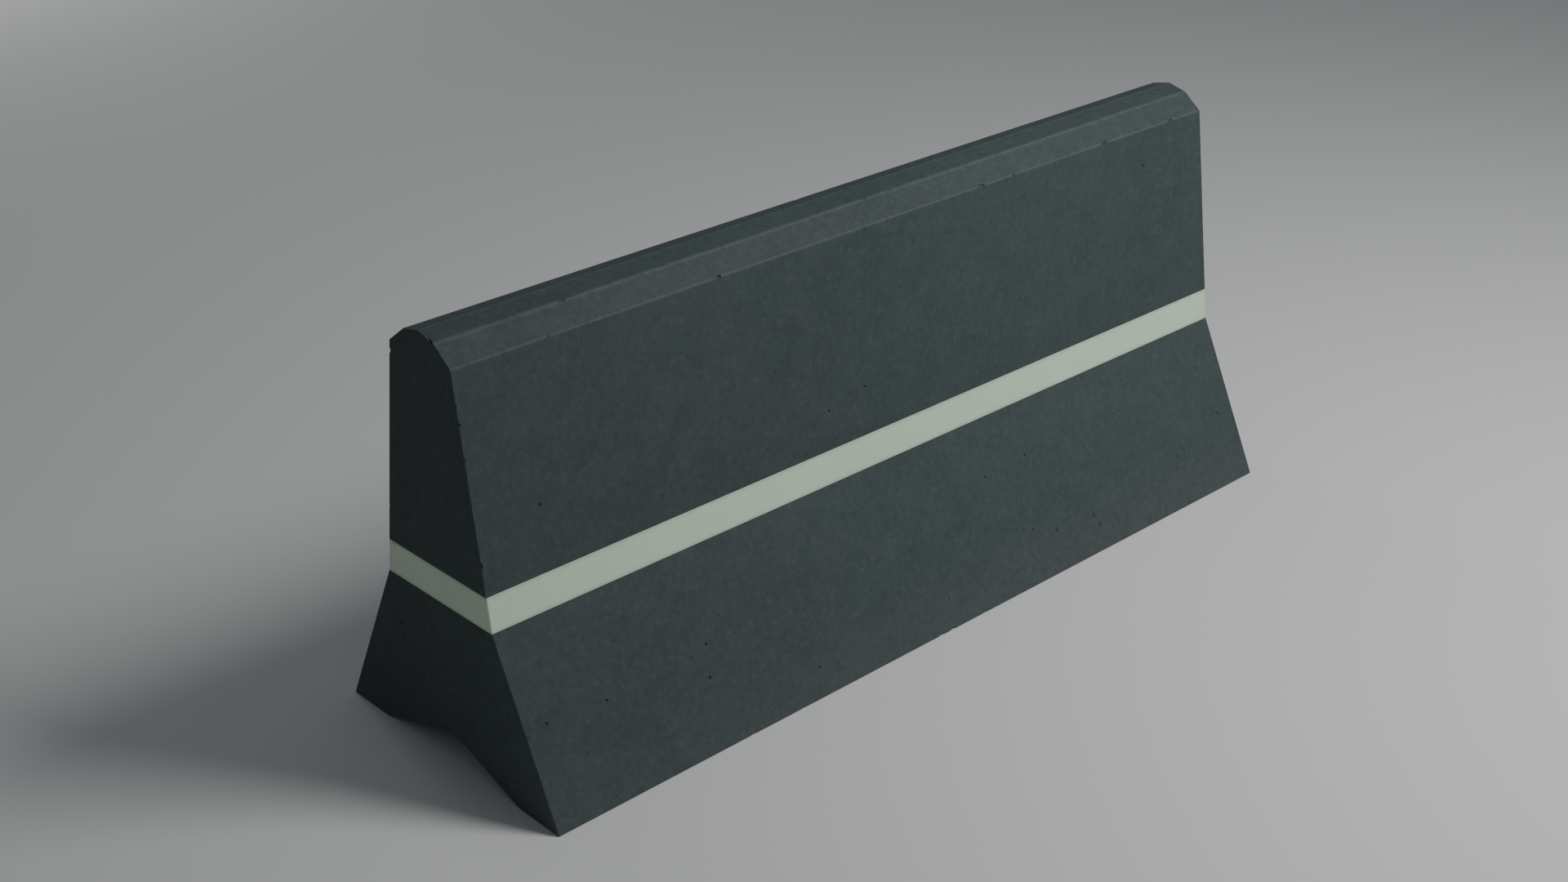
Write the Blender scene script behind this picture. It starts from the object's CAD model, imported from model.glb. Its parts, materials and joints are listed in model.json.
# %% [markdown]
# # A precast concrete jersey barrier
#
# A jersey barrier is one heavy concrete casting that stands on a road by its own weight. Its toe
# flares out so that a wheel rides up it and turns back. This one is coloured concrete with a shallow
# groove under it, and a pale reflective band let in flush all round its waist. A steel cage is cast
# inside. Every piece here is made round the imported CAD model, so the first step is to load it.

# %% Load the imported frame
import json
import math

import bmesh
import bpy
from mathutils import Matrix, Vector

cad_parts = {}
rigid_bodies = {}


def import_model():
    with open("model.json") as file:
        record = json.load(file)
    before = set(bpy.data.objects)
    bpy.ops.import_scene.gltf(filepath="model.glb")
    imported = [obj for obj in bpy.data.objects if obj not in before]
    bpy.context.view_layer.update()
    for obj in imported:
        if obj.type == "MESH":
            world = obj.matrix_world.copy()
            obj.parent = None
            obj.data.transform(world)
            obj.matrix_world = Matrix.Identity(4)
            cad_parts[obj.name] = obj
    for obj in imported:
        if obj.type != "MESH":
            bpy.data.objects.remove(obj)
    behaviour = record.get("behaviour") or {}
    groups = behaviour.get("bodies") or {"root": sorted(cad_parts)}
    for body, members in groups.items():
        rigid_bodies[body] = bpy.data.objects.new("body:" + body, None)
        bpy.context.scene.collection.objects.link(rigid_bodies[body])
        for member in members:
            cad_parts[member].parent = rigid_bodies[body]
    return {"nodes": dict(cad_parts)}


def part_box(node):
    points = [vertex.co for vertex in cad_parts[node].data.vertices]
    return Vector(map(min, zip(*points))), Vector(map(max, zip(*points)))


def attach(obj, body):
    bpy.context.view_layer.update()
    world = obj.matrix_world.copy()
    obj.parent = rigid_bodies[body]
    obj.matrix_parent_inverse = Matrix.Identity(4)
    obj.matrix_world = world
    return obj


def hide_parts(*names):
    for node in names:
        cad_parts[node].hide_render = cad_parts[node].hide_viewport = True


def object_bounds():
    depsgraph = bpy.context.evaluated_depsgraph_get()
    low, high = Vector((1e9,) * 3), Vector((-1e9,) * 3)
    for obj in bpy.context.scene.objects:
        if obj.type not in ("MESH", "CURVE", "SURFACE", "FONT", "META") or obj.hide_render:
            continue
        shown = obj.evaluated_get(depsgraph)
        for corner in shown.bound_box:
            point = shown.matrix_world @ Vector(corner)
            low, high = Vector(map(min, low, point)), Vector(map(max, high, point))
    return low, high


for spare in list(bpy.data.objects):
    bpy.data.objects.remove(spare)
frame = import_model()
cad_low, cad_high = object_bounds()
nodes = frame["nodes"]
print("CAD box", [round(v, 4) for v in cad_high - cad_low], "with", len(nodes), "nodes")

# %% [markdown]
# The sizes that the looks depend on are written once, in metres. The section is the outline of the
# barrier seen from its end, and half of it is enough because the two sides match.

# %% The section's sizes
LENGTH = round(cad_high.x - cad_low.x, 4)
HEIGHT = 0.810
HALF_BASE = 0.300
FOOT_INNER = 0.192
GROOVE_TOP = 0.0675
HALF_WAIST, WAIST = 0.1465, 0.319
HALF_SHOULDER, SHOULDER = 0.083, HEIGHT - 0.0415
HALF_CROWN, CROWN = 0.0415, HEIGHT - 0.0095
ARRIS = 0.002
BAND_HEIGHT = 0.065
BAND_DEPTH = 0.006
STEM_SLOPE = (HALF_WAIST - HALF_SHOULDER) / (SHOULDER - WAIST)

half_outline = [
    (0.0, GROOVE_TOP),
    (FOOT_INNER, 0.0),
    (HALF_BASE, 0.0),
    (HALF_WAIST, WAIST),
    (HALF_SHOULDER, SHOULDER),
    (HALF_CROWN, CROWN),
    (0.0, HEIGHT),
]
print("section", len(half_outline), "points a side, barrier", LENGTH, "m long")

# %% [markdown]
# Several node trees follow, so a few short helpers keep them readable. One adds a node with its
# settings, one makes a number from two others, and one starts a geometry tree with named inputs.


# %% Helpers for node trees
def add(tree, kind, **settings):
    """Adds a node. A setting whose name is an input's is put on that input, linked if it is a socket."""
    node = tree.nodes.new(kind)
    wanted = {}
    for name, value in settings.items():
        if hasattr(node, name):
            setattr(node, name, value)
        else:
            wanted[name.replace("_", " ")] = value
    for name, value in wanted.items():
        feed(tree, node, name, value)
    return node


def feed(tree, node, name, value):
    """Sets or links one input, found by its name or its number."""
    if isinstance(name, int):
        socket = node.inputs[name]
    else:
        socket = next(s for s in node.inputs if s.name == name and s.enabled)
    if isinstance(value, bpy.types.NodeSocket):
        tree.links.new(value, socket)
    else:
        socket.default_value = value


def calc(tree, operation, *values, clamp=False):
    """One Math node's result."""
    node = tree.nodes.new("ShaderNodeMath")
    node.operation = operation
    node.use_clamp = clamp
    for i, value in enumerate(values):
        feed(tree, node, i, value)
    return node.outputs[0]


def ramp(tree, value, low, high, out_low=0.0, out_high=1.0):
    """Maps a value smoothly from one range to another."""
    node = tree.nodes.new("ShaderNodeMapRange")
    node.interpolation_type = "SMOOTHSTEP"
    for i, v in enumerate((value, low, high, out_low, out_high)):
        feed(tree, node, i, v)
    return node.outputs["Result"]


def geometry_tree(name, inputs):
    """An empty geometry tree with named inputs, its input node and a function that ends it."""
    tree = bpy.data.node_groups.new(name, "GeometryNodeTree")
    face = tree.interface
    face.new_socket("Geometry", in_out="OUTPUT", socket_type="NodeSocketGeometry")
    face.new_socket("Geometry", in_out="INPUT", socket_type="NodeSocketGeometry")
    for label, kind, default in inputs:
        socket = face.new_socket(label, in_out="INPUT", socket_type=f"NodeSocket{kind}")
        if default is not None:
            socket.default_value = default
    face.new_socket("Material", in_out="INPUT", socket_type="NodeSocketMaterial")
    source = tree.nodes.new("NodeGroupInput")

    def end(geometry):
        real = add(tree, "GeometryNodeRealizeInstances", Geometry=geometry)
        finish = tree.nodes.new("GeometryNodeSetMaterial")
        tree.links.new(real.outputs[0], finish.inputs["Geometry"])
        tree.links.new(source.outputs["Material"], finish.inputs["Material"])
        out = tree.nodes.new("NodeGroupOutput")
        tree.links.new(finish.outputs[0], out.inputs[0])

    return tree, source.outputs, end


def use_tree(thing, tree, **values):
    """Puts a tree on an object and sets its inputs by their identifiers."""
    modifier = thing.modifiers.new(tree.name, "NODES")
    modifier.node_group = tree
    for item in tree.interface.items_tree:
        key = item.name.replace(" ", "_")
        if item.in_out == "INPUT" and key in values:
            modifier[item.identifier] = values[key]


print("helpers ready")

# %% [markdown]
# Every piece ends as a plain mesh at the origin, in the barrier's own frame. The next helpers make an
# object from points, and turn one with modifiers into its final mesh. Faces that meet at a small
# angle are shaded smooth and the rest stay crisp. Weighted normals follow the wide faces, so a flat
# face stays flat right up to its rounded edge.


# %% Helpers for pieces
def object_from(name, points, edges=(), faces=()):
    mesh = bpy.data.meshes.new(name)
    mesh.from_pydata([Vector(p) for p in points], list(edges), list(faces))
    thing = bpy.data.objects.new(name, mesh)
    bpy.context.scene.collection.objects.link(thing)
    return thing


def apply_modifiers(thing):
    bpy.context.view_layer.update()
    graph = bpy.context.evaluated_depsgraph_get()
    mesh = bpy.data.meshes.new_from_object(thing.evaluated_get(graph))
    thing.modifiers.clear()
    thing.data = mesh
    mesh.name = thing.name


def settle(thing, crease=50, fold=180, weighted=True):
    """Makes an object a plain mesh and shades it."""
    apply_modifiers(thing)
    shade(thing, crease, fold)
    if weighted:
        normals = thing.modifiers.new("wide faces lead", "WEIGHTED_NORMAL")
        normals.keep_sharp = True
        apply_modifiers(thing)


WIDE_FACE = 2e-4  # square metres
SAME_PLACE = 1e-6  # points this near each other, in metres, are one point


def shade(thing, crease, fold):
    """Drops faces with no area and smooths the rest. Edges past the crease angle stay crisp, and so do
    edges past the fold angle where both faces are wide."""
    work = bmesh.new()
    work.from_mesh(thing.data)
    bmesh.ops.dissolve_degenerate(work, edges=work.edges, dist=SAME_PLACE)
    for face in work.faces:
        face.smooth = True
    for edge in work.edges:
        wide = all(face.calc_area() > WIDE_FACE for face in edge.link_faces)
        limit = math.radians(min(fold, crease) if wide else crease)
        edge.smooth = edge.is_manifold and edge.calc_face_angle(0) < limit
    open_edges = sum(not edge.is_manifold for edge in work.edges)
    print(f"{thing.name}: {len(work.faces)} faces, {open_edges} open edges")
    work.to_mesh(thing.data)
    work.free()


def place(piece, slot, *replaced):
    """Ties a finished piece to the barrier's one body and to the CAD nodes it stands for."""
    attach(piece, "root")
    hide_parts(*replaced)


# %% [markdown]
# ## Finishes
#
# Real concrete is never one colour: cement clouds over wide areas, sand shows as grain, rain leaves
# runs, and traffic throws dirt on the lowest part. Each such effect is a shader group with named
# inputs, because several materials here use it with their own values. All of them read Object
# coordinates, which are metres on the barrier, so a grain of sand keeps its real size.


# %% Helpers for shader groups
def shader_group(name, inputs, outputs):
    tree = bpy.data.node_groups.new(name, "ShaderNodeTree")
    for label, kind, default in inputs:
        socket = tree.interface.new_socket(
            label, in_out="INPUT", socket_type=f"NodeSocket{kind}"
        )
        socket.default_value = default
    for label, kind in outputs:
        tree.interface.new_socket(label, in_out="OUTPUT", socket_type=f"NodeSocket{kind}")
    source = tree.nodes.new("NodeGroupInput")
    result = tree.nodes.new("NodeGroupOutput")
    return tree, source.outputs, result.inputs


def use_group(tree, group, **values):
    node = tree.nodes.new("ShaderNodeGroup")
    node.node_tree = group
    for name, value in values.items():
        feed(tree, node, name.replace("_", " "), value)
    return node.outputs


def metres(tree):
    """Where a point is on the barrier, in metres."""
    return tree.nodes.new("ShaderNodeTexCoord").outputs["Object"]


def noise(tree, scale, detail=2.0, rough=0.5, vector=None, distort=0.0):
    """A noise texture's value."""
    node = tree.nodes.new("ShaderNodeTexNoise")
    tree.links.new(vector or metres(tree), node.inputs["Vector"])
    for name, value in (
        ("Scale", scale),
        ("Detail", detail),
        ("Roughness", rough),
        ("Distortion", distort),
    ):
        feed(tree, node, name, value)
    return node.outputs[0]


def stretched(tree, x, y, z):
    """Object coordinates stretched along some axes."""
    mapping = tree.nodes.new("ShaderNodeMapping")
    tree.links.new(metres(tree), mapping.inputs["Vector"])
    mapping.inputs["Scale"].default_value = (x, y, z)
    return mapping.outputs[0]


def split(tree):
    node = tree.nodes.new("ShaderNodeSeparateXYZ")
    tree.links.new(metres(tree), node.inputs[0])
    return node.outputs


def blend(tree, factor, first, second):
    """Mixes two colours."""
    node = tree.nodes.new("ShaderNodeMix")
    node.data_type = "RGBA"
    for socket, value in ((node.inputs[0], factor), (node.inputs[6], first), (node.inputs[7], second)):
        if isinstance(value, bpy.types.NodeSocket):
            tree.links.new(value, socket)
        else:
            socket.default_value = value if socket.type == "VALUE" else (*value, 1.0)
    return node.outputs[2]


# %% [markdown]
# Cloud is the slow change of tone over a surface. Grain is the fine sand: a value round zero for the
# colour and a height for the bump. Both are noise at two sizes, added together.


# %% Cloud and grain groups
tree, given, gives = shader_group(
    "cloud",
    [("Size", "Float", 0.4), ("Contrast", "Float", 1.0)],
    [("Tone", "Float")],
)
wide = noise(tree, calc(tree, "DIVIDE", 1.0, given["Size"]), detail=5, rough=0.55, distort=0.3)
near = noise(tree, calc(tree, "DIVIDE", 7.0, given["Size"]), detail=4, rough=0.6)
both = calc(tree, "ADD", calc(tree, "MULTIPLY", wide, 0.65), calc(tree, "MULTIPLY", near, 0.35))
tone = calc(tree, "MULTIPLY", calc(tree, "SUBTRACT", both, 0.5), given["Contrast"])
tree.links.new(calc(tree, "ADD", tone, 0.5, clamp=True), gives["Tone"])
CLOUD = tree

tree, given, gives = shader_group(
    "grain",
    [("Size", "Float", 0.0015), ("Contrast", "Float", 1.0)],
    [("Tone", "Float"), ("Height", "Float")],
)
per_metre = calc(tree, "DIVIDE", 1.0, given["Size"])
fine = noise(tree, per_metre, detail=3, rough=0.7)
coarse = noise(tree, calc(tree, "MULTIPLY", per_metre, 0.22), detail=2, rough=0.5)
height = calc(tree, "ADD", calc(tree, "MULTIPLY", fine, 0.6), calc(tree, "MULTIPLY", coarse, 0.4))
tone = calc(tree, "MULTIPLY", calc(tree, "SUBTRACT", height, 0.5), given["Contrast"])
tree.links.new(calc(tree, "ADD", tone, 0.5, clamp=True), gives["Tone"])
tree.links.new(height, gives["Height"])
GRAIN = tree
print("groups", CLOUD.name, GRAIN.name)

# %% [markdown]
# Wear and dirt need to know where they are. The ragged mask turns a plain distance into a mask whose
# border is broken up by noise, as a worn arris or a tide of dust has.

# %% Ragged mask group
tree, given, gives = shader_group(
    "ragged mask",
    [
        ("Distance", "Float", 0.0),
        ("Reach", "Float", 0.01),
        ("Break Up", "Float", 0.8),
        ("Size", "Float", 0.02),
    ],
    [("Mask", "Float")],
)
rough_line = noise(tree, calc(tree, "DIVIDE", 1.0, given["Size"]), detail=5, rough=0.65)
shifted = calc(tree, "MULTIPLY", calc(tree, "SUBTRACT", rough_line, 0.5), given["Break Up"])
share = calc(tree, "ADD", calc(tree, "DIVIDE", given["Distance"], given["Reach"]), shifted)
tree.links.new(ramp(tree, share, 0.0, 1.0, 1.0, 0.0), gives["Mask"])
RAGGED = tree

# %% [markdown]
# Rain runs are long streaks down a face. The noise behind them is squeezed along the barrier and
# stretched downwards, and a threshold keeps only a few of them.

# %% Rain run group
tree, given, gives = shader_group(
    "rain runs",
    [("Width", "Float", 0.03), ("Length", "Float", 0.6), ("Amount", "Float", 0.5)],
    [("Mask", "Float")],
)
x, y, z = split(tree)
along = calc(tree, "DIVIDE", calc(tree, "ADD", x, y), given["Width"])
down = calc(tree, "DIVIDE", z, given["Length"])
joined = add(tree, "ShaderNodeCombineXYZ")
tree.links.new(along, joined.inputs[0])
tree.links.new(down, joined.inputs[1])
streak = noise(tree, 1.0, detail=4, rough=0.6, vector=joined.outputs[0])
floor_value = calc(tree, "SUBTRACT", 0.8, calc(tree, "MULTIPLY", given["Amount"], 0.4))
tree.links.new(ramp(tree, streak, floor_value, calc(tree, "ADD", floor_value, 0.22)), gives["Mask"])
RUNS = tree
print("groups", RAGGED.name, RUNS.name)

# %% [markdown]
# Arris distance says how far a point of the casting is from its nearest outer corner. The section
# has straight sides, so the depth behind each side is a sum of its coordinates. On the surface one
# depth is zero, and a second one is small only beside a corner, so pairs of depths give the distance.


# %% Arris distance group
def depth_behind(tree, across, up, start, end):
    """How far a point lies behind one straight side of the section."""
    (y0, z0), (y1, z1) = start, end
    run = math.hypot(y1 - y0, z1 - z0)
    out_y, out_z = (z1 - z0) / run, -(y1 - y0) / run
    parts = calc(tree, "ADD", calc(tree, "MULTIPLY", across, -out_y), calc(tree, "MULTIPLY", up, -out_z))
    return calc(tree, "ADD", parts, out_y * y0 + out_z * z0)


tree, given, gives = shader_group(
    "arris distance", [("Length", "Float", LENGTH)], [("Distance", "Float")]
)
x, y, z = split(tree)
across = calc(tree, "ABSOLUTE", y)
groove, foot, toe, stem, shoulder, crown = (
    depth_behind(tree, across, z, a, b) for a, b in zip(half_outline, half_outline[1:])
)
side = calc(tree, "MAXIMUM", toe, stem)
top = calc(tree, "MINIMUM", shoulder, crown)
inside = calc(tree, "MINIMUM", calc(tree, "MINIMUM", side, top), calc(tree, "MINIMUM", groove, foot))
half_length = calc(tree, "MULTIPLY", given["Length"], 0.5)
end_depth = calc(tree, "SUBTRACT", half_length, calc(tree, "ABSOLUTE", x))
nearest = calc(tree, "ADD", inside, end_depth)
for first, second in ((stem, shoulder), (shoulder, crown), (toe, foot), (crown, across)):
    nearest = calc(tree, "MINIMUM", nearest, calc(tree, "ADD", first, second))
tree.links.new(nearest, gives["Distance"])
ARRIS_DISTANCE = tree


# %% [markdown]
# The casting is concrete with dark green-grey pigment right through. Its tone drifts, grains of sand
# show light and dark, the worn arrises show paler cement, the lowest hand's width is dusty from the
# road, and rain has left thin runs. The smallest air voids are dark pits in the colour and the bump,
# because so many small holes would cost more faces than they show.


# %% Concrete material
def new_material(name, **constants):
    material = bpy.data.materials.new(name)
    material.use_nodes = True
    tree = material.node_tree
    shader = tree.nodes["Principled BSDF"]
    for socket, value in constants.items():
        shader.inputs[socket.replace("_", " ")].default_value = value
    return material, tree, shader


def add_bump(tree, shader, height, strength, distance, before=None):
    bump = tree.nodes.new("ShaderNodeBump")
    bump.inputs["Strength"].default_value = strength
    bump.inputs["Distance"].default_value = distance
    tree.links.new(height, bump.inputs["Height"])
    if before:
        tree.links.new(before, bump.inputs["Normal"])
    tree.links.new(bump.outputs[0], shader.inputs["Normal"])
    return bump.outputs[0]


concrete, tree, shader = new_material("pigmented concrete", Specular_IOR_Level=0.35)
cloud = use_group(tree, CLOUD, Size=0.55, Contrast=1.5)["Tone"]
mottle = use_group(tree, CLOUD, Size=0.06, Contrast=1.3)["Tone"]
grain = use_group(tree, GRAIN, Size=0.0016, Contrast=1.5)
colour = blend(tree, cloud, (0.028, 0.042, 0.044), (0.039, 0.056, 0.059))
colour = blend(tree, ramp(tree, mottle, 0.3, 0.75, 0.0, 0.6), colour, (0.047, 0.064, 0.066))
sand = ramp(tree, grain["Tone"], 0.62, 0.80, 0.0, 0.55)
colour = blend(tree, sand, colour, (0.090, 0.107, 0.104))
dark_sand = ramp(tree, grain["Tone"], 0.36, 0.22, 0.0, 0.6)
colour = blend(tree, dark_sand, colour, (0.017, 0.025, 0.027))
runs = use_group(tree, RUNS, Width=0.022, Length=0.55, Amount=0.35)["Mask"]
colour = blend(tree, calc(tree, "MULTIPLY", runs, 0.16), colour, (0.100, 0.119, 0.115))
x, y, z = split(tree)
splash = use_group(tree, RAGGED, Distance=z, Reach=0.12, Break_Up=0.9, Size=0.05)["Mask"]
colour = blend(tree, calc(tree, "MULTIPLY", splash, 0.20), colour, (0.092, 0.097, 0.089))
edge = use_group(tree, ARRIS_DISTANCE, Length=LENGTH)["Distance"]
worn = use_group(tree, RAGGED, Distance=edge, Reach=0.0028, Break_Up=1.3, Size=0.018)["Mask"]
colour = blend(tree, calc(tree, "MULTIPLY", worn, 0.40), colour, (0.108, 0.125, 0.122))
skin = use_group(tree, CLOUD, Size=0.012, Contrast=2.2)["Tone"]
colour = blend(tree, ramp(tree, skin, 0.52, 0.80, 0.0, 0.30), colour, (0.076, 0.093, 0.091))
colour = blend(tree, ramp(tree, skin, 0.46, 0.20, 0.0, 0.35), colour, (0.019, 0.027, 0.029))

PITS_PER_METRE = 85
pits = tree.nodes.new("ShaderNodeTexVoronoi")
pits.feature = "F1"
pits.inputs["Scale"].default_value = PITS_PER_METRE
tree.links.new(metres(tree), pits.inputs["Vector"])
pick = tree.nodes.new("ShaderNodeSeparateColor")
tree.links.new(pits.outputs["Color"], pick.inputs[0])
few = ramp(tree, pick.outputs[0], 0.80, 0.84)
wide_pit = calc(tree, "ADD", 0.07, calc(tree, "MULTIPLY", pick.outputs[1], 0.11))
dimple = calc(tree, "MULTIPLY", ramp(tree, pits.outputs["Distance"], 0.03, wide_pit, 1.0, 0.0), few)
colour = blend(tree, calc(tree, "MULTIPLY", dimple, 0.55), colour, (0.016, 0.021, 0.022))
tree.links.new(colour, shader.inputs["Base Color"])
roughness = calc(tree, "ADD", 0.66, calc(tree, "MULTIPLY", grain["Tone"], 0.22))
roughness = calc(tree, "SUBTRACT", roughness, calc(tree, "MULTIPLY", cloud, 0.08))
tree.links.new(roughness, shader.inputs["Roughness"])

wavy = noise(tree, 9.0, detail=2)
surface = add_bump(tree, shader, wavy, 0.25, 0.004)
surface = add_bump(tree, shader, grain["Height"], 0.42, 0.0006, surface)
add_bump(tree, shader, calc(tree, "MULTIPLY", dimple, -1.0), 0.8, 0.0012, surface)
print("material", concrete.name, len(tree.nodes), "nodes")

# %% [markdown]
# The band is reflective sheeting, the pale green-white kind that shines back at headlamps. Seen close,
# its clear film is sealed down along a net of small six-sided cells. The pattern is two offset grids
# of rows, and each point takes the nearer cell centre.

# %% Six-sided cell group
tree, given, gives = shader_group(
    "six-sided cells", [("Cell", "Float", 0.0045), ("Line", "Float", 0.10)], [("Line", "Float")]
)
x, y, z = split(tree)
u = calc(tree, "DIVIDE", calc(tree, "ADD", x, y), given["Cell"])
v = calc(tree, "DIVIDE", z, given["Cell"])


def wrapped(value, step, shift):
    """A coordinate measured from the nearest cell centre of one grid."""
    moved = calc(tree, "ADD", value, shift)
    cell = calc(tree, "ROUND", calc(tree, "DIVIDE", moved, step))
    return calc(tree, "ABSOLUTE", calc(tree, "SUBTRACT", moved, calc(tree, "MULTIPLY", cell, step)))


ROW_STEP = math.sqrt(3)
borders = []
for shift in (0.0, 0.5):
    a, b = wrapped(u, 1.0, shift), wrapped(v, ROW_STEP, shift * ROW_STEP)
    slanted = calc(tree, "ADD", calc(tree, "MULTIPLY", a, 0.5), calc(tree, "MULTIPLY", b, ROW_STEP / 2))
    borders.append(calc(tree, "MAXIMUM", a, slanted))
inner = calc(tree, "MINIMUM", *borders)
limit = calc(tree, "SUBTRACT", 0.5, calc(tree, "MULTIPLY", given["Line"], 0.5))
tree.links.new(ramp(tree, inner, limit, calc(tree, "ADD", limit, 0.03)), gives["Line"])
CELLS = tree

# %% Band material
band, tree, shader = new_material(
    "reflective sheeting", Coat_Weight=0.35, Coat_Roughness=0.12, Specular_IOR_Level=0.5
)
net = use_group(tree, CELLS, Cell=0.0045, Line=0.14)["Line"]
cloud = use_group(tree, CLOUD, Size=0.25, Contrast=1.2)["Tone"]
beads = use_group(tree, GRAIN, Size=0.0004, Contrast=2.0)
colour = blend(tree, cloud, (0.58, 0.68, 0.53), (0.70, 0.81, 0.65))
colour = blend(tree, ramp(tree, beads["Tone"], 0.6, 0.9, 0.0, 0.35), colour, (0.88, 0.96, 0.83))
colour = blend(tree, calc(tree, "MULTIPLY", net, 0.20), colour, (0.47, 0.55, 0.45))
x, y, z = split(tree)
above = calc(tree, "SUBTRACT", z, WAIST)
below = calc(tree, "SUBTRACT", WAIST + BAND_HEIGHT, z)
rim = calc(tree, "MINIMUM", above, below)
grime = use_group(tree, RAGGED, Distance=rim, Reach=0.009, Break_Up=1.3, Size=0.03)["Mask"]
colour = blend(tree, calc(tree, "MULTIPLY", grime, 0.35), colour, (0.24, 0.26, 0.22))
runs = use_group(tree, RUNS, Width=0.02, Length=0.30, Amount=0.40)["Mask"]
colour = blend(tree, calc(tree, "MULTIPLY", runs, 0.16), colour, (0.36, 0.38, 0.33))
scuffs = noise(tree, 1.0, detail=4, rough=0.7, vector=stretched(tree, 6, 6, 420))
scuff = ramp(tree, scuffs, 0.66, 0.74, 0.0, 0.30)
colour = blend(tree, scuff, colour, (0.40, 0.43, 0.38))
tree.links.new(colour, shader.inputs["Base Color"])
dull = calc(tree, "ADD", 0.34, calc(tree, "MULTIPLY", net, 0.15))
dull = calc(tree, "ADD", dull, calc(tree, "MULTIPLY", calc(tree, "MAXIMUM", grime, scuff), 0.3))
tree.links.new(dull, shader.inputs["Roughness"])
surface = add_bump(tree, shader, calc(tree, "MULTIPLY", net, -1.0), 0.35, 0.0003)
add_bump(tree, shader, beads["Height"], 0.12, 0.0002, surface)
print("material", band.name, len(tree.nodes), "nodes")

# %% [markdown]
# Inside the casting the bars carry mill scale that rust has started to break, the tying wire is
# annealed black, the spacers are grey moulded plastic and the band's bed is a dark elastic adhesive.
# They are built from the same groups with other values.

# %% Materials of the inner pieces
steel, tree, shader = new_material("rusting bar", Specular_IOR_Level=0.5)
patches = use_group(tree, CLOUD, Size=0.03, Contrast=3.0)["Tone"]
speck = use_group(tree, GRAIN, Size=0.0008, Contrast=1.8)
colour = blend(tree, ramp(tree, patches, 0.35, 0.65), (0.060, 0.058, 0.062), (0.270, 0.105, 0.045))
colour = blend(tree, ramp(tree, speck["Tone"], 0.6, 0.85, 0.0, 0.6), colour, (0.42, 0.19, 0.07))
tree.links.new(colour, shader.inputs["Base Color"])
tree.links.new(ramp(tree, patches, 0.3, 0.6, 0.75, 0.1), shader.inputs["Metallic"])
tree.links.new(ramp(tree, patches, 0.3, 0.6, 0.45, 0.88), shader.inputs["Roughness"])
add_bump(tree, shader, speck["Height"], 0.5, 0.0003)

wire, tree, shader = new_material("annealed wire", Specular_IOR_Level=0.5)
tint = use_group(tree, CLOUD, Size=0.01, Contrast=2.0)["Tone"]
colour = blend(tree, tint, (0.045, 0.046, 0.052), (0.120, 0.080, 0.060))
tree.links.new(colour, shader.inputs["Base Color"])
tree.links.new(ramp(tree, tint, 0.3, 0.7, 0.9, 0.5), shader.inputs["Metallic"])
tree.links.new(ramp(tree, tint, 0.3, 0.7, 0.38, 0.62), shader.inputs["Roughness"])

plastic, tree, shader = new_material("grey spacer plastic", Specular_IOR_Level=0.45)
tint = use_group(tree, CLOUD, Size=0.05, Contrast=1.4)["Tone"]
texture = use_group(tree, GRAIN, Size=0.0005, Contrast=0.8)
colour = blend(tree, tint, (0.24, 0.25, 0.26), (0.33, 0.34, 0.345))
tree.links.new(colour, shader.inputs["Base Color"])
tree.links.new(ramp(tree, texture["Tone"], 0.2, 0.8, 0.42, 0.58), shader.inputs["Roughness"])
add_bump(tree, shader, texture["Height"], 0.2, 0.0001)

adhesive, tree, shader = new_material("bonding adhesive", Specular_IOR_Level=0.4)
tint = use_group(tree, CLOUD, Size=0.08, Contrast=1.6)["Tone"]
bubbles = use_group(tree, GRAIN, Size=0.002, Contrast=1.2)
colour = blend(tree, tint, (0.060, 0.060, 0.062), (0.115, 0.113, 0.110))
tree.links.new(colour, shader.inputs["Base Color"])
tree.links.new(ramp(tree, bubbles["Tone"], 0.3, 0.7, 0.5, 0.8), shader.inputs["Roughness"])
add_bump(tree, shader, bubbles["Height"], 0.3, 0.0004)
print("inner materials", steel.name, wire.name, plastic.name, adhesive.name)

# %% [markdown]
# ## The casting
#
# A mould gives the barrier one section along its whole length, so its shape follows a rule: an
# outline swept along a line. The tree takes the outline as edges, sweeps it and closes the ends. It
# could be an extruded mesh too, but the tree keeps the length as one named number. The rows of faces
# are 60 mm apart so that small marks can be cut in them cleanly.

# %% Sweep tree
sweep_tree, given, end = geometry_tree(
    "cast section", [("Length", "Float", 1.9), ("Row", "Float", 0.06)]
)
half = calc(sweep_tree, "MULTIPLY", given["Length"], 0.5)
start = add(sweep_tree, "ShaderNodeCombineXYZ", X=calc(sweep_tree, "MULTIPLY", half, -1.0))
finish = add(sweep_tree, "ShaderNodeCombineXYZ", X=half)
line = add(
    sweep_tree, "GeometryNodeCurvePrimitiveLine", Start=start.outputs[0], End=finish.outputs[0]
)
rows = add(sweep_tree, "GeometryNodeResampleCurve", mode="LENGTH", Curve=line.outputs[0])
feed(sweep_tree, rows, "Length", given["Row"])
outline = add(sweep_tree, "GeometryNodeMeshToCurve", Mesh=given["Geometry"])
swept = add(sweep_tree, "GeometryNodeCurveToMesh", Curve=rows.outputs[0])
feed(sweep_tree, swept, "Profile Curve", outline.outputs[0])
feed(sweep_tree, swept, "Fill Caps", True)
end(swept.outputs[0])

# %% [markdown]
# The outline's long sides are divided, because cuts in a long thin face make slivers.


# %% Casting outline
def divided(points, longest):
    """The same outline with extra points along its long sides."""
    result = []
    for a, b in zip(points, points[1:] + points[:1]):
        steps = max(1, math.ceil(math.dist(a, b) / longest))
        for i in range(steps):
            t = i / steps
            result.append((a[0] + (b[0] - a[0]) * t, a[1] + (b[1] - a[1]) * t))
    return result


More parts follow.
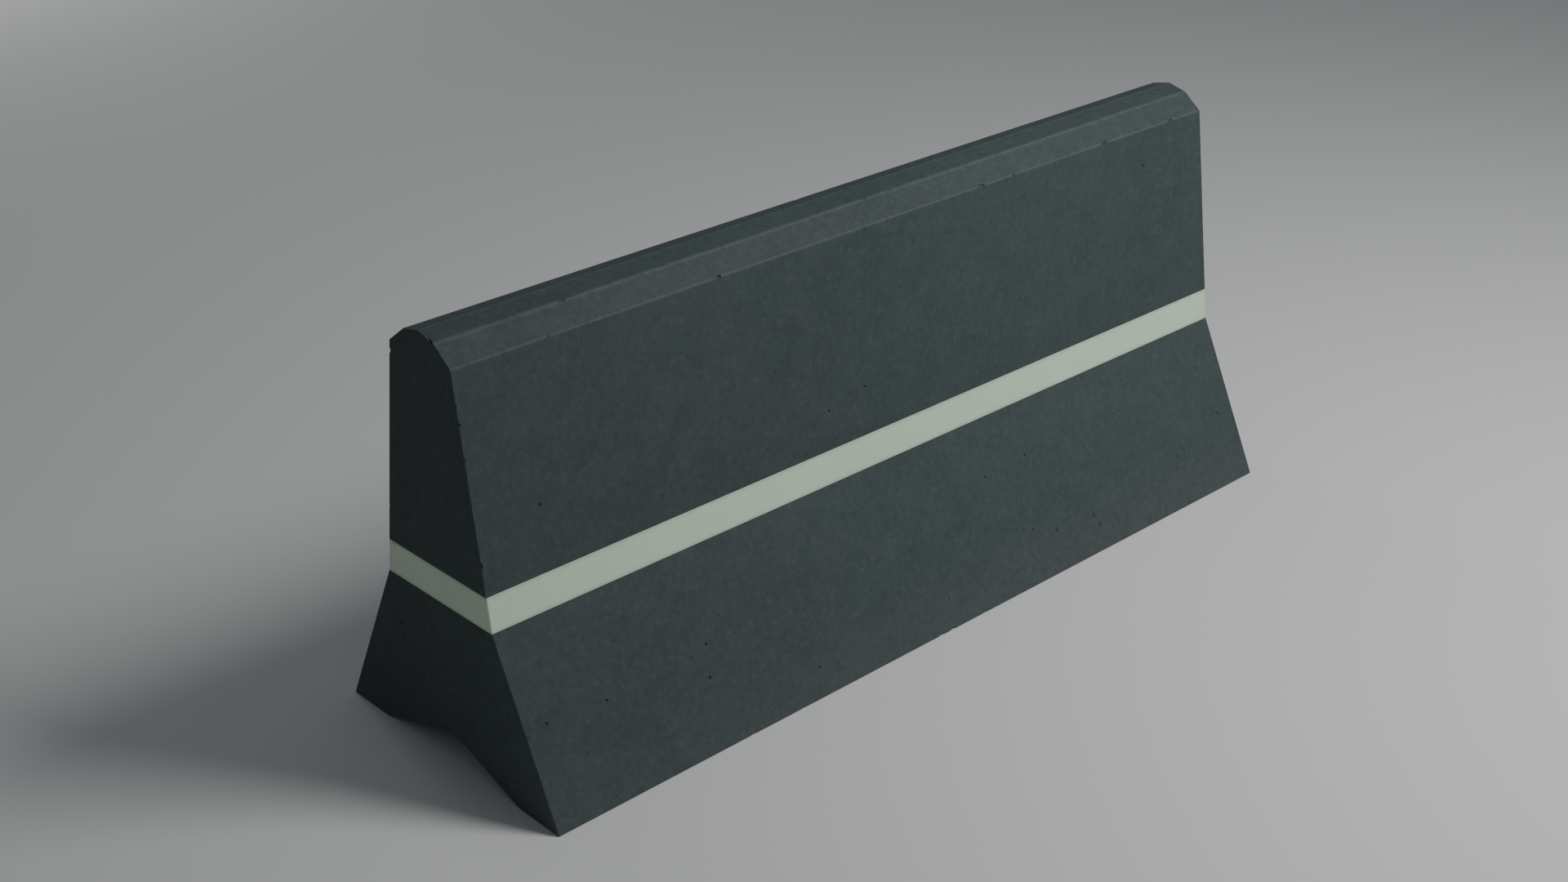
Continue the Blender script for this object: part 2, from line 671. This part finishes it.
ROW = 0.06
whole_outline = half_outline + [(-y, z) for y, z in reversed(half_outline[1:-1])]
ring = divided(whole_outline, ROW)
# Along +X the sweep stands an outline's own x and y on the barrier's -Y and -Z.
casting = object_from(
    "casting",
    [(-y, -z, 0) for y, z in ring],
    [(i, (i + 1) % len(ring)) for i in range(len(ring))],
)
use_tree(casting, sweep_tree, Length=LENGTH, Row=ROW, Material=concrete)
apply_modifiers(casting)
print("outline of", len(ring), "points,", len(casting.data.polygons), "faces swept")

# %% [markdown]
# The mould has the same small fillet in every corner, so every arris has the same radius. A rounding
# of one radius takes a wide strip off a sharp corner and a narrow one off a blunt corner. The bevel's
# weight gives each edge its share: the tangent of half its turn. The bluntest edges have no fillet.
# The end faces are split in triangles, because one large face with many holes is hard to cut.

# %% Rounded arrises
LEAST_TURN = math.radians(19.9)  # the feet meet the groove at a smaller turn, which stays sharp
work = bmesh.new()
work.from_mesh(casting.data)
share = work.edges.layers.float.new("bevel_weight_edge")
sharpest = max(edge.calc_face_angle(0) for edge in work.edges)
for edge in work.edges:
    turn = edge.calc_face_angle(0)
    if turn > LEAST_TURN:
        edge[share] = math.tan(turn / 2) / math.tan(sharpest / 2)
work.to_mesh(casting.data)
work.free()
arris = casting.modifiers.new("arrises", "BEVEL")
arris.limit_method = "WEIGHT"
arris.width = ARRIS * math.tan(sharpest / 2)
arris.segments = 2
caps = casting.modifiers.new("end faces in triangles", "TRIANGULATE")
caps.min_vertices = 5
print("sharpest arris turns", round(math.degrees(sharpest)), "degrees")
print("its rounding takes", round(arris.width * 1000, 2), "mm off each side")

# %% [markdown]
# Corners of hard concrete break off in small flakes when barriers are lifted and set down. Each chip
# is a stretched ball that will be cut away. The tree walks along the arrises, drops most of the steps
# at random, and puts a ball of random size and turn on the rest, long way along the arris.

# %% Chip tree
chip_tree, given, end = geometry_tree(
    "arris chips",
    [
        ("Step", "Float", 0.03),
        ("Kept", "Float", 0.1),
        ("Chip Radius", "Float", 0.003),
        ("Band Base", "Float", 0.319),
        ("Band Height", "Float", 0.065),
        ("Seed", "Int", 7),
    ],
)
tree = chip_tree


def random_value(tree, seed, low, high, shift=0):
    """A random number for each point, from low to high."""
    node = add(tree, "FunctionNodeRandomValue", data_type="FLOAT")
    live = [s for s in node.inputs if s.enabled]
    for socket, value in zip(live, (low, high)):
        socket.default_value = value
    tree.links.new(calc(tree, "ADD", seed, float(shift)), next(s for s in live if s.name == "Seed"))
    return next(o for o in node.outputs if o.enabled)


lines = add(tree, "GeometryNodeMeshToCurve", Mesh=given["Geometry"])
steps = add(tree, "GeometryNodeCurveToPoints", mode="LENGTH", Curve=lines.outputs[0])
tree.links.new(given["Step"], steps.inputs["Length"])
level = add(tree, "ShaderNodeSeparateXYZ", Vector=add(tree, "GeometryNodeInputPosition").outputs[0])
band_middle = calc(tree, "ADD", given["Band Base"], calc(tree, "MULTIPLY", given["Band Height"], 0.5))
off_band = calc(tree, "ABSOLUTE", calc(tree, "SUBTRACT", level.outputs["Z"], band_middle))
near_band = calc(tree, "LESS_THAN", off_band, given["Band Height"])
dropped = calc(tree, "GREATER_THAN", random_value(tree, given["Seed"], 0.0, 1.0), given["Kept"])
fewer = add(tree, "GeometryNodeDeleteGeometry", Geometry=steps.outputs["Points"])
tree.links.new(calc(tree, "MAXIMUM", dropped, near_band), fewer.inputs["Selection"])
flake = add(tree, "GeometryNodeMeshIcoSphere", Radius=1.0, Subdivisions=2)
share = random_value(tree, given["Seed"], 0.5, 1.3, 1)
size_now = calc(tree, "MULTIPLY", share, given["Chip Radius"])
stretch = random_value(tree, given["Seed"], 1.2, 3.2, 2)
flake_size = add(
    tree, "ShaderNodeCombineXYZ", X=size_now, Y=size_now, Z=calc(tree, "MULTIPLY", size_now, stretch)
)
flakes = add(tree, "GeometryNodeInstanceOnPoints", Points=fewer.outputs[0])
tree.links.new(flake.outputs["Mesh"], flakes.inputs["Instance"])
roll = add(tree, "FunctionNodeRotateRotation", rotation_space="LOCAL")
tree.links.new(steps.outputs["Rotation"], roll.inputs[0])
angles = add(
    tree,
    "ShaderNodeCombineXYZ",
    X=random_value(tree, given["Seed"], -0.25, 0.25, 3),
    Y=random_value(tree, given["Seed"], -0.25, 0.25, 4),
    Z=random_value(tree, given["Seed"], 0.0, 3.1, 5),
)
euler = add(tree, "FunctionNodeEulerToRotation")
tree.links.new(angles.outputs[0], euler.inputs[0])
tree.links.new(euler.outputs[0], roll.inputs[1])
tree.links.new(roll.outputs[0], flakes.inputs["Rotation"])
tree.links.new(flake_size.outputs[0], flakes.inputs["Scale"])
end(flakes.outputs[0])

# %% Chips along the arrises
END_GAP = 0.01
FOOT, LAST_FOOT = 2, 9  # the outline's points from one outer foot corner over the crown to the other
long_arrises = [(HALF_BASE, 0.0), (HALF_SHOULDER, SHOULDER), (HALF_CROWN, CROWN)]
long_arrises += [(-y, z) for y, z in long_arrises]
points, lines = [], []
for y, z in long_arrises:
    points += [(-LENGTH / 2 + END_GAP, y, z), (LENGTH / 2 - END_GAP, y, z)]
    lines.append((len(points) - 2, len(points) - 1))
for x in (-LENGTH / 2, LENGTH / 2):
    first = len(points)
    points += [(x, y, z) for y, z in whole_outline]
    lines += [(first + i, first + i + 1) for i in range(FOOT, LAST_FOOT)]
chips = object_from("chips", points, lines)
use_tree(
    chips,
    chip_tree,
    Step=0.03,
    Kept=0.09,
    Chip_Radius=0.0032,
    Band_Base=WAIST,
    Band_Height=BAND_HEIGHT,
    Seed=8,
    Material=concrete,
)
apply_modifiers(chips)
FLAKE_FACES = 80
print("chips:", len(chips.data.polygons) // FLAKE_FACES)

# %% [markdown]
# The marks come next, cut by booleans as they are in real concrete. The first is the rebate that the
# band lies in: a slab at the band's level, less the core that is left behind it. The small air voids
# come from scattered points, each with a squashed ball that is cut away. They are set apart by a
# least distance, so no two balls meet. Most sit on the flared toe, where a mould traps air.

# %% Rebate and air voids tree
marks_tree, given, end = geometry_tree(
    "cut marks",
    [
        ("Length", "Float", 1.9),
        ("Band Base", "Float", 0.319),
        ("Band Height", "Float", 0.065),
        ("Band Depth", "Float", 0.006),
        ("Half Waist", "Float", 0.1465),
        ("Stem Slope", "Float", 0.14),
        ("Void Spacing", "Float", 0.03),
        ("Void Density", "Float", 60.0),
        ("Void Radius", "Float", 0.003),
        ("Seed", "Int", 4),
        ("Chips", "Object", None),
    ],
)
tree = marks_tree
middle = calc(tree, "ADD", given["Band Base"], calc(tree, "MULTIPLY", given["Band Height"], 0.5))


def block(tree, x, y, z, height):
    """A box centred at a height."""
    sizes = add(tree, "ShaderNodeCombineXYZ", X=x, Y=y, Z=z)
    cube = add(tree, "GeometryNodeMeshCube", Size=sizes.outputs[0]).outputs["Mesh"]
    centre = add(tree, "ShaderNodeCombineXYZ", Z=height).outputs[0]
    return add(tree, "GeometryNodeSetPosition", Geometry=cube, Offset=centre).outputs[0]


slab = block(tree, calc(tree, "ADD", given["Length"], 0.1), 0.5, given["Band Height"], middle)
core_length = calc(tree, "SUBTRACT", given["Length"], calc(tree, "MULTIPLY", given["Band Depth"], 2.0))
core = block(tree, core_length, 1.0, calc(tree, "ADD", given["Band Height"], 0.02), middle)
spot = add(tree, "ShaderNodeSeparateXYZ", Vector=add(tree, "GeometryNodeInputPosition").outputs[0])
slope = given["Stem Slope"]
level_depth = calc(tree, "SQRT", calc(tree, "ADD", 1.0, calc(tree, "MULTIPLY", slope, slope)))
thickness = calc(tree, "MULTIPLY", given["Band Depth"], level_depth)
rise = calc(tree, "SUBTRACT", spot.outputs["Z"], given["Band Base"])
reach = calc(tree, "SUBTRACT", given["Half Waist"], calc(tree, "MULTIPLY", rise, slope))
reach = calc(tree, "SUBTRACT", reach, thickness)
leaned = add(
    tree,
    "ShaderNodeCombineXYZ",
    X=spot.outputs["X"],
    Y=calc(tree, "MULTIPLY", calc(tree, "SIGN", spot.outputs["Y"]), reach),
    Z=spot.outputs["Z"],
)
core = add(tree, "GeometryNodeSetPosition", Geometry=core, Position=leaned.outputs[0]).outputs[0]


def cut(tree, solid, *cutters):
    """What is left of a solid when others are cut away."""
    node = tree.nodes.new("GeometryNodeMeshBoolean")
    node.operation = "DIFFERENCE"
    node.solver = "EXACT"
    tree.links.new(solid, node.inputs[0])
    for cutter in cutters:
        tree.links.new(cutter, node.inputs[1])
    return node.outputs["Mesh"]


frame_of_band = cut(tree, slab, core)

place_at = add(tree, "GeometryNodeInputPosition").outputs[0]
where = add(tree, "ShaderNodeSeparateXYZ", Vector=place_at).outputs
low_down = add(
    tree, "ShaderNodeMapRange", Value=where["Z"], From_Min=0.15, From_Max=0.45, To_Min=1.0, To_Max=0.22
)
patchy = add(tree, "ShaderNodeTexNoise", Scale=7.0, Detail=2.0)
often = calc(tree, "MULTIPLY", low_down.outputs[0], ramp(tree, patchy.outputs[0], 0.35, 0.65, 0.15, 1.0))
from_band = calc(tree, "ABSOLUTE", calc(tree, "SUBTRACT", where["Z"], middle))
clear_of_band = calc(tree, "GREATER_THAN", from_band, calc(tree, "ADD", given["Band Height"], 0.002))
off_ground = calc(tree, "GREATER_THAN", where["Z"], 0.012)
allowed = calc(tree, "MULTIPLY", clear_of_band, off_ground)
often = calc(tree, "MULTIPLY", often, allowed)
scatter = add(tree, "GeometryNodeDistributePointsOnFaces", distribute_method="POISSON")
tree.links.new(given["Geometry"], scatter.inputs["Mesh"])
tree.links.new(given["Void Spacing"], scatter.inputs["Distance Min"])
tree.links.new(given["Void Density"], scatter.inputs["Density Max"])
tree.links.new(often, scatter.inputs["Density Factor"])
tree.links.new(given["Seed"], scatter.inputs["Seed"])
ball = add(tree, "GeometryNodeMeshIcoSphere", Radius=1.0, Subdivisions=2)
radius = calc(tree, "MULTIPLY", random_value(tree, given["Seed"], 0.35, 1.25), given["Void Radius"])
squash = add(tree, "ShaderNodeCombineXYZ", X=radius, Y=radius, Z=calc(tree, "MULTIPLY", radius, 0.7))
balls = add(tree, "GeometryNodeInstanceOnPoints", Points=scatter.outputs["Points"])
tree.links.new(ball.outputs["Mesh"], balls.inputs["Instance"])
tree.links.new(scatter.outputs["Rotation"], balls.inputs["Rotation"])
tree.links.new(squash.outputs[0], balls.inputs["Scale"])
real_balls = add(tree, "GeometryNodeRealizeInstances", Geometry=balls.outputs[0]).outputs[0]
chipped = add(tree, "GeometryNodeObjectInfo", Object=given["Chips"])
holed = cut(tree, given["Geometry"], frame_of_band, real_balls, chipped.outputs["Geometry"])
end(holed)

use_tree(
    casting,
    marks_tree,
    Length=LENGTH,
    Band_Base=WAIST,
    Band_Height=BAND_HEIGHT,
    Band_Depth=BAND_DEPTH,
    Half_Waist=HALF_WAIST,
    Stem_Slope=STEM_SLOPE,
    Void_Spacing=0.018,
    Void_Density=170.0,
    Void_Radius=0.0032,
    Seed=6,
    Chips=chips,
    Material=concrete,
)
settle(casting, fold=10)
bpy.data.objects.remove(chips)
place(casting, "concrete", "concrete_body")
low, high = (Vector(f(v.co[i] for v in casting.data.vertices) for i in range(3)) for f in (min, max))
print("casting from", [round(v, 4) for v in low], "to", [round(v, 4) for v in high])

# %% [markdown]
# ## The marker band
#
# The four strips are stiff backed sheeting, let in flush. Their shapes are already right in the CAD
# model, so a copy of each mesh is merged and given a fine rolled edge, which catches the light along
# the joint.

# %% Band strips
for name in [n for n in nodes if n.startswith("band_strip")]:
    source = nodes[name].data
    strip = object_from(name.replace("band_strip_", "") + "_sheeting", [])
    strip.data = source.copy()
    strip.data.materials.clear()
    strip.data.materials.append(band)
    work = bmesh.new()
    work.from_mesh(strip.data)
    bmesh.ops.remove_doubles(work, verts=work.verts, dist=SAME_PLACE)
    bmesh.ops.dissolve_limit(work, angle_limit=math.radians(0.5), verts=work.verts, edges=work.edges)
    work.to_mesh(strip.data)
    work.free()
    rolled = strip.modifiers.new("rolled edge", "BEVEL")
    rolled.width = 0.0006
    rolled.segments = 2
    rolled.limit_method = "ANGLE"
    rolled.angle_limit = math.radians(40)
    settle(strip)
    place(strip, "band_sheeting", name)

# %% [markdown]
# ## The cage
#
# Deformed bar has slanting ribs down both sides so that concrete grips it. The ribs repeat along
# whatever line the bar takes, so one tree makes straight and bent bars alike: it rounds the corners of
# a line, sweeps a circle along it, then stands a rib at each step on either side.

# %% Ribbed bar tree
bar_tree, given, end = geometry_tree(
    "ribbed bar",
    [
        ("Diameter", "Float", 0.012),
        ("Bend Radius", "Float", 0.025),
        ("Rib Spacing", "Float", 0.008),
        ("Rib Height", "Float", 0.0005),
    ],
)
tree = bar_tree
radius = calc(tree, "MULTIPLY", given["Diameter"], 0.5)
middle_line = add(tree, "GeometryNodeMeshToCurve", Mesh=given["Geometry"])
bent = add(tree, "GeometryNodeFilletCurve", mode="POLY", Curve=middle_line.outputs[0])
tree.links.new(given["Bend Radius"], bent.inputs["Radius"])
bent.inputs["Count"].default_value = 8
bent.inputs["Limit Radius"].default_value = True
bar_line = bent.outputs[0]
circle = add(tree, "GeometryNodeCurvePrimitiveCircle", Resolution=14)
tree.links.new(radius, circle.inputs["Radius"])
core = add(tree, "GeometryNodeCurveToMesh", Curve=bar_line)
feed(tree, core, "Profile Curve", circle.outputs[0])
feed(tree, core, "Fill Caps", True)

# One rib: an arc round the bar that slants along it and thins to nothing at both ends.
rib_line = add(tree, "GeometryNodeCurveArc", mode="RADIUS", Resolution=8)
tree.links.new(radius, rib_line.inputs["Radius"])
rib_line.inputs["Start Angle"].default_value = math.radians(-75)
rib_line.inputs["Sweep Angle"].default_value = math.radians(150)
at = add(tree, "ShaderNodeSeparateXYZ", Vector=add(tree, "GeometryNodeInputPosition").outputs[0])
slant = add(tree, "ShaderNodeCombineXYZ", Z=calc(tree, "MULTIPLY", at.outputs["Y"], 0.55))
slanted = add(tree, "GeometryNodeSetPosition", Geometry=rib_line.outputs[0], Offset=slant.outputs[0])
along = add(tree, "GeometryNodeSplineParameter").outputs["Factor"]
swell = calc(tree, "SINE", calc(tree, "MULTIPLY", along, math.pi))
thickness = calc(tree, "ADD", calc(tree, "MULTIPLY", swell, 0.9), 0.1)
rib_section = add(tree, "GeometryNodeCurvePrimitiveCircle", Resolution=4)
tree.links.new(given["Rib Height"], rib_section.inputs["Radius"])
rib = add(tree, "GeometryNodeCurveToMesh", Curve=slanted.outputs[0])
feed(tree, rib, "Profile Curve", rib_section.outputs[0])
feed(tree, rib, "Scale", thickness)
feed(tree, rib, "Fill Caps", True)

# The ribs stop short of the bar's cut ends, so that none of them leans out past its end.
full_length = add(tree, "GeometryNodeCurveLength", Curve=bar_line).outputs["Length"]
plain_end = calc(tree, "MULTIPLY", given["Diameter"], 0.35)
ribbed_length = add(tree, "GeometryNodeTrimCurve", mode="LENGTH", Curve=bar_line)
feed(tree, ribbed_length, "Start", plain_end)
feed(tree, ribbed_length, "End", calc(tree, "SUBTRACT", full_length, plain_end))
stations = add(tree, "GeometryNodeCurveToPoints", mode="LENGTH", Curve=ribbed_length.outputs[0])
tree.links.new(given["Rib Spacing"], stations.inputs["Length"])
shells = [core.outputs[0]]
for turn in (0.0, math.pi):
    stand = add(tree, "GeometryNodeInstanceOnPoints", Points=stations.outputs["Points"])
    tree.links.new(rib.outputs[0], stand.inputs["Instance"])
    turned = add(tree, "FunctionNodeRotateRotation", rotation_space="LOCAL")
    tree.links.new(stations.outputs["Rotation"], turned.inputs[0])
    turned.inputs[1].default_value = (0.0, 0.0, turn)
    tree.links.new(turned.outputs[0], stand.inputs["Rotation"])
    shells.append(stand.outputs[0])
joined = tree.nodes.new("GeometryNodeJoinGeometry")
for shell in shells:
    tree.links.new(shell, joined.inputs[0])
end(joined.outputs[0])
print("ribbed bar tree has", len(tree.nodes), "nodes")

# %% [markdown]
# Straight bars run from end to end. Their places are read from the CAD nodes' boxes.


# %% Long bars
BAR, STIRRUP, BEND_RADIUS = 0.012, 0.010, 0.025
CORE = 0.95  # the core's share of a bar's nominal size
RIB_STEP, RIB_RISE = 0.7, 0.045  # shares of the core


def make_bar(name, points, size, node):
    """A ribbed bar of a nominal size along some points."""
    core_size = size * CORE
    bar = object_from(name, points, [(i, i + 1) for i in range(len(points) - 1)])
    use_tree(
        bar,
        bar_tree,
        Diameter=core_size,
        Bend_Radius=BEND_RADIUS,
        Rib_Spacing=core_size * RIB_STEP,
        Rib_Height=core_size * RIB_RISE,
        Material=steel,
    )
    settle(bar, crease=40, weighted=False)
    place(bar, "reinforcing_steel", node)
    return bar


for name in sorted(n for n in nodes if "_bar_" in n):
    low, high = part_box(name)
    y, z = (low[1] + high[1]) / 2, (low[2] + high[2]) / 2
    make_bar("ribbed_" + name, [(low[0], y, z), (high[0], y, z)], BAR, name)

# %% [markdown]
# A stirrup follows the section forty millimetres inside it. Its line is found the way a bender's
# drawing gives it: each face is moved in by the cover, and the moved faces are crossed.

# %% Stirrups and base ties
COVER = 0.040
COVER_LINE = COVER + STIRRUP / 2
STIRRUP_TOP = HEIGHT - 0.055  # the middle of a stirrup's bar over the crown
TAIL, TIE_END = 0.090, 0.190  # how far out from the middle a stirrup's tail and a tie stop


def moved_in(start, end):
    """A side of the section moved in by the cover, as a point and a direction."""
    a, b = Vector(start), Vector(end)
    way = (b - a).normalized()
    return a + Vector((-way.y, way.x)) * COVER_LINE, way


def crossing(first, second):
    (p, u), (q, v) = first, second
    gap = q - p
    share = (gap.x * v.y - gap.y * v.x) / (u.x * v.y - u.y * v.x)
    return p + u * share


def at_reach(line, reach):
    p, u = line
    return p + u * ((reach - p.x) / u.x)


groove_line = moved_in(half_outline[0], half_outline[1])
toe_line = moved_in(half_outline[2], half_outline[3])
stem_line = moved_in(half_outline[3], half_outline[4])
top_line = (Vector((0.0, STIRRUP_TOP)), Vector((1.0, 0.0)))
hairpin = [
    at_reach(groove_line, TAIL),
    crossing(groove_line, toe_line),
    crossing(toe_line, stem_line),
    crossing(stem_line, top_line),
]
vee = [at_reach(groove_line, TIE_END), at_reach(groove_line, 0.0)]


def both_sides(half):
    """A half line and its mirror image, as one line across the barrier."""
    mirrored = [(-p[0], p[1]) for p in reversed(half)]
    return [tuple(p) for p in half] + [p for p in mirrored if abs(p[0]) > 1e-9]


for kind, half in (("stirrup", hairpin), ("base_tie", vee)):
    for name in sorted(n for n in nodes if n.startswith(kind)):
        low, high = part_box(name)
        x = (low[0] + high[0]) / 2
        points = [(x, y, z) for y, z in both_sides(half)]
        bar = make_bar("ribbed_" + name, points, STIRRUP, name)
        ys = [v.co.y for v in bar.data.vertices]
        zs = [v.co.z for v in bar.data.vertices]
        if name.endswith("_1"):
            print("CAD", [round(v, 4) for v in (low[1], high[1], low[2], high[2])])
            print("made", [round(v, 4) for v in (min(ys), max(ys), min(zs), max(zs))])

# %% [markdown]
# The tying wires, the wheel spacers and the adhesive beds have their final shape in the CAD model.
# They stay as they are and take their finish.

# %% Finish the CAD pieces that stay
for name, thing in nodes.items():
    finish_of = {"wire_ties": wire, "wheel_spacers": plastic, "band_adhesive": adhesive}
    for start, material in finish_of.items():
        if name.startswith(start):
            thing.data.materials.clear()
            thing.data.materials.append(material)

# %% [markdown]
# ## Stage
#
# The barrier stands on a plain pale floor. One large soft lamp stands high in front and to the right,
# so the long face and the crown are lit and the near end falls into shade. A second one far behind
# keeps the back from going black. It stands low, so the crown's back stays dark, and it is left out
# of reflections. Neither lamp shows to the camera.


# %% Floor, light and camera
FLOOR_REACH = 30
floor = object_from(
    "floor",
    [(x * FLOOR_REACH, y * FLOOR_REACH, 0) for x, y in ((-1, -1), (1, -1), (1, 1), (-1, 1))],
    faces=[(0, 1, 2, 3)],
)
pale, tree, shader = new_material("pale floor", Roughness=0.75, Base_Color=(0.70, 0.70, 0.69, 1.0))
floor.data.materials.append(pale)


def soft_lamp(name, spot, target, size, power, shine=True):
    light = bpy.data.lights.new(name, "AREA")
    light.shape = "DISK"
    light.size = size
    light.energy = power
    lamp = bpy.data.objects.new(name, light)
    bpy.context.scene.collection.objects.link(lamp)
    lamp.location = spot
    lamp.rotation_euler = (Vector(target) - Vector(spot)).to_track_quat("-Z", "Y").to_euler()
    lamp.visible_camera = False
    lamp.visible_glossy = shine


soft_lamp("key lamp", (1.6, -2.3, 3.5), (0, 0, 0.4), 1.8, 112)
soft_lamp("back fill", (0.3, 8.0, 1.3), (0, 0, 0.4), 2.4, 110, shine=False)
world = bpy.data.worlds.new("studio")
bpy.context.scene.world = world
world.use_nodes = True
sky = world.node_tree.nodes["Background"]
sky.inputs["Color"].default_value = (0.86, 0.93, 1.0, 1.0)
sky.inputs["Strength"].default_value = 0.11

camera_data = bpy.data.cameras.new("camera")
camera_data.lens = 50
camera_data.sensor_width = 36
camera = bpy.data.objects.new("camera", camera_data)
camera.location = (-2.6755, -2.6656, 2.1687)
camera.rotation_euler = [math.radians(a) for a in (63.582, 0.0, -43.321)]
bpy.context.scene.collection.objects.link(camera)
bpy.context.scene.camera = camera
bpy.context.scene.view_settings.view_transform = "Filmic"
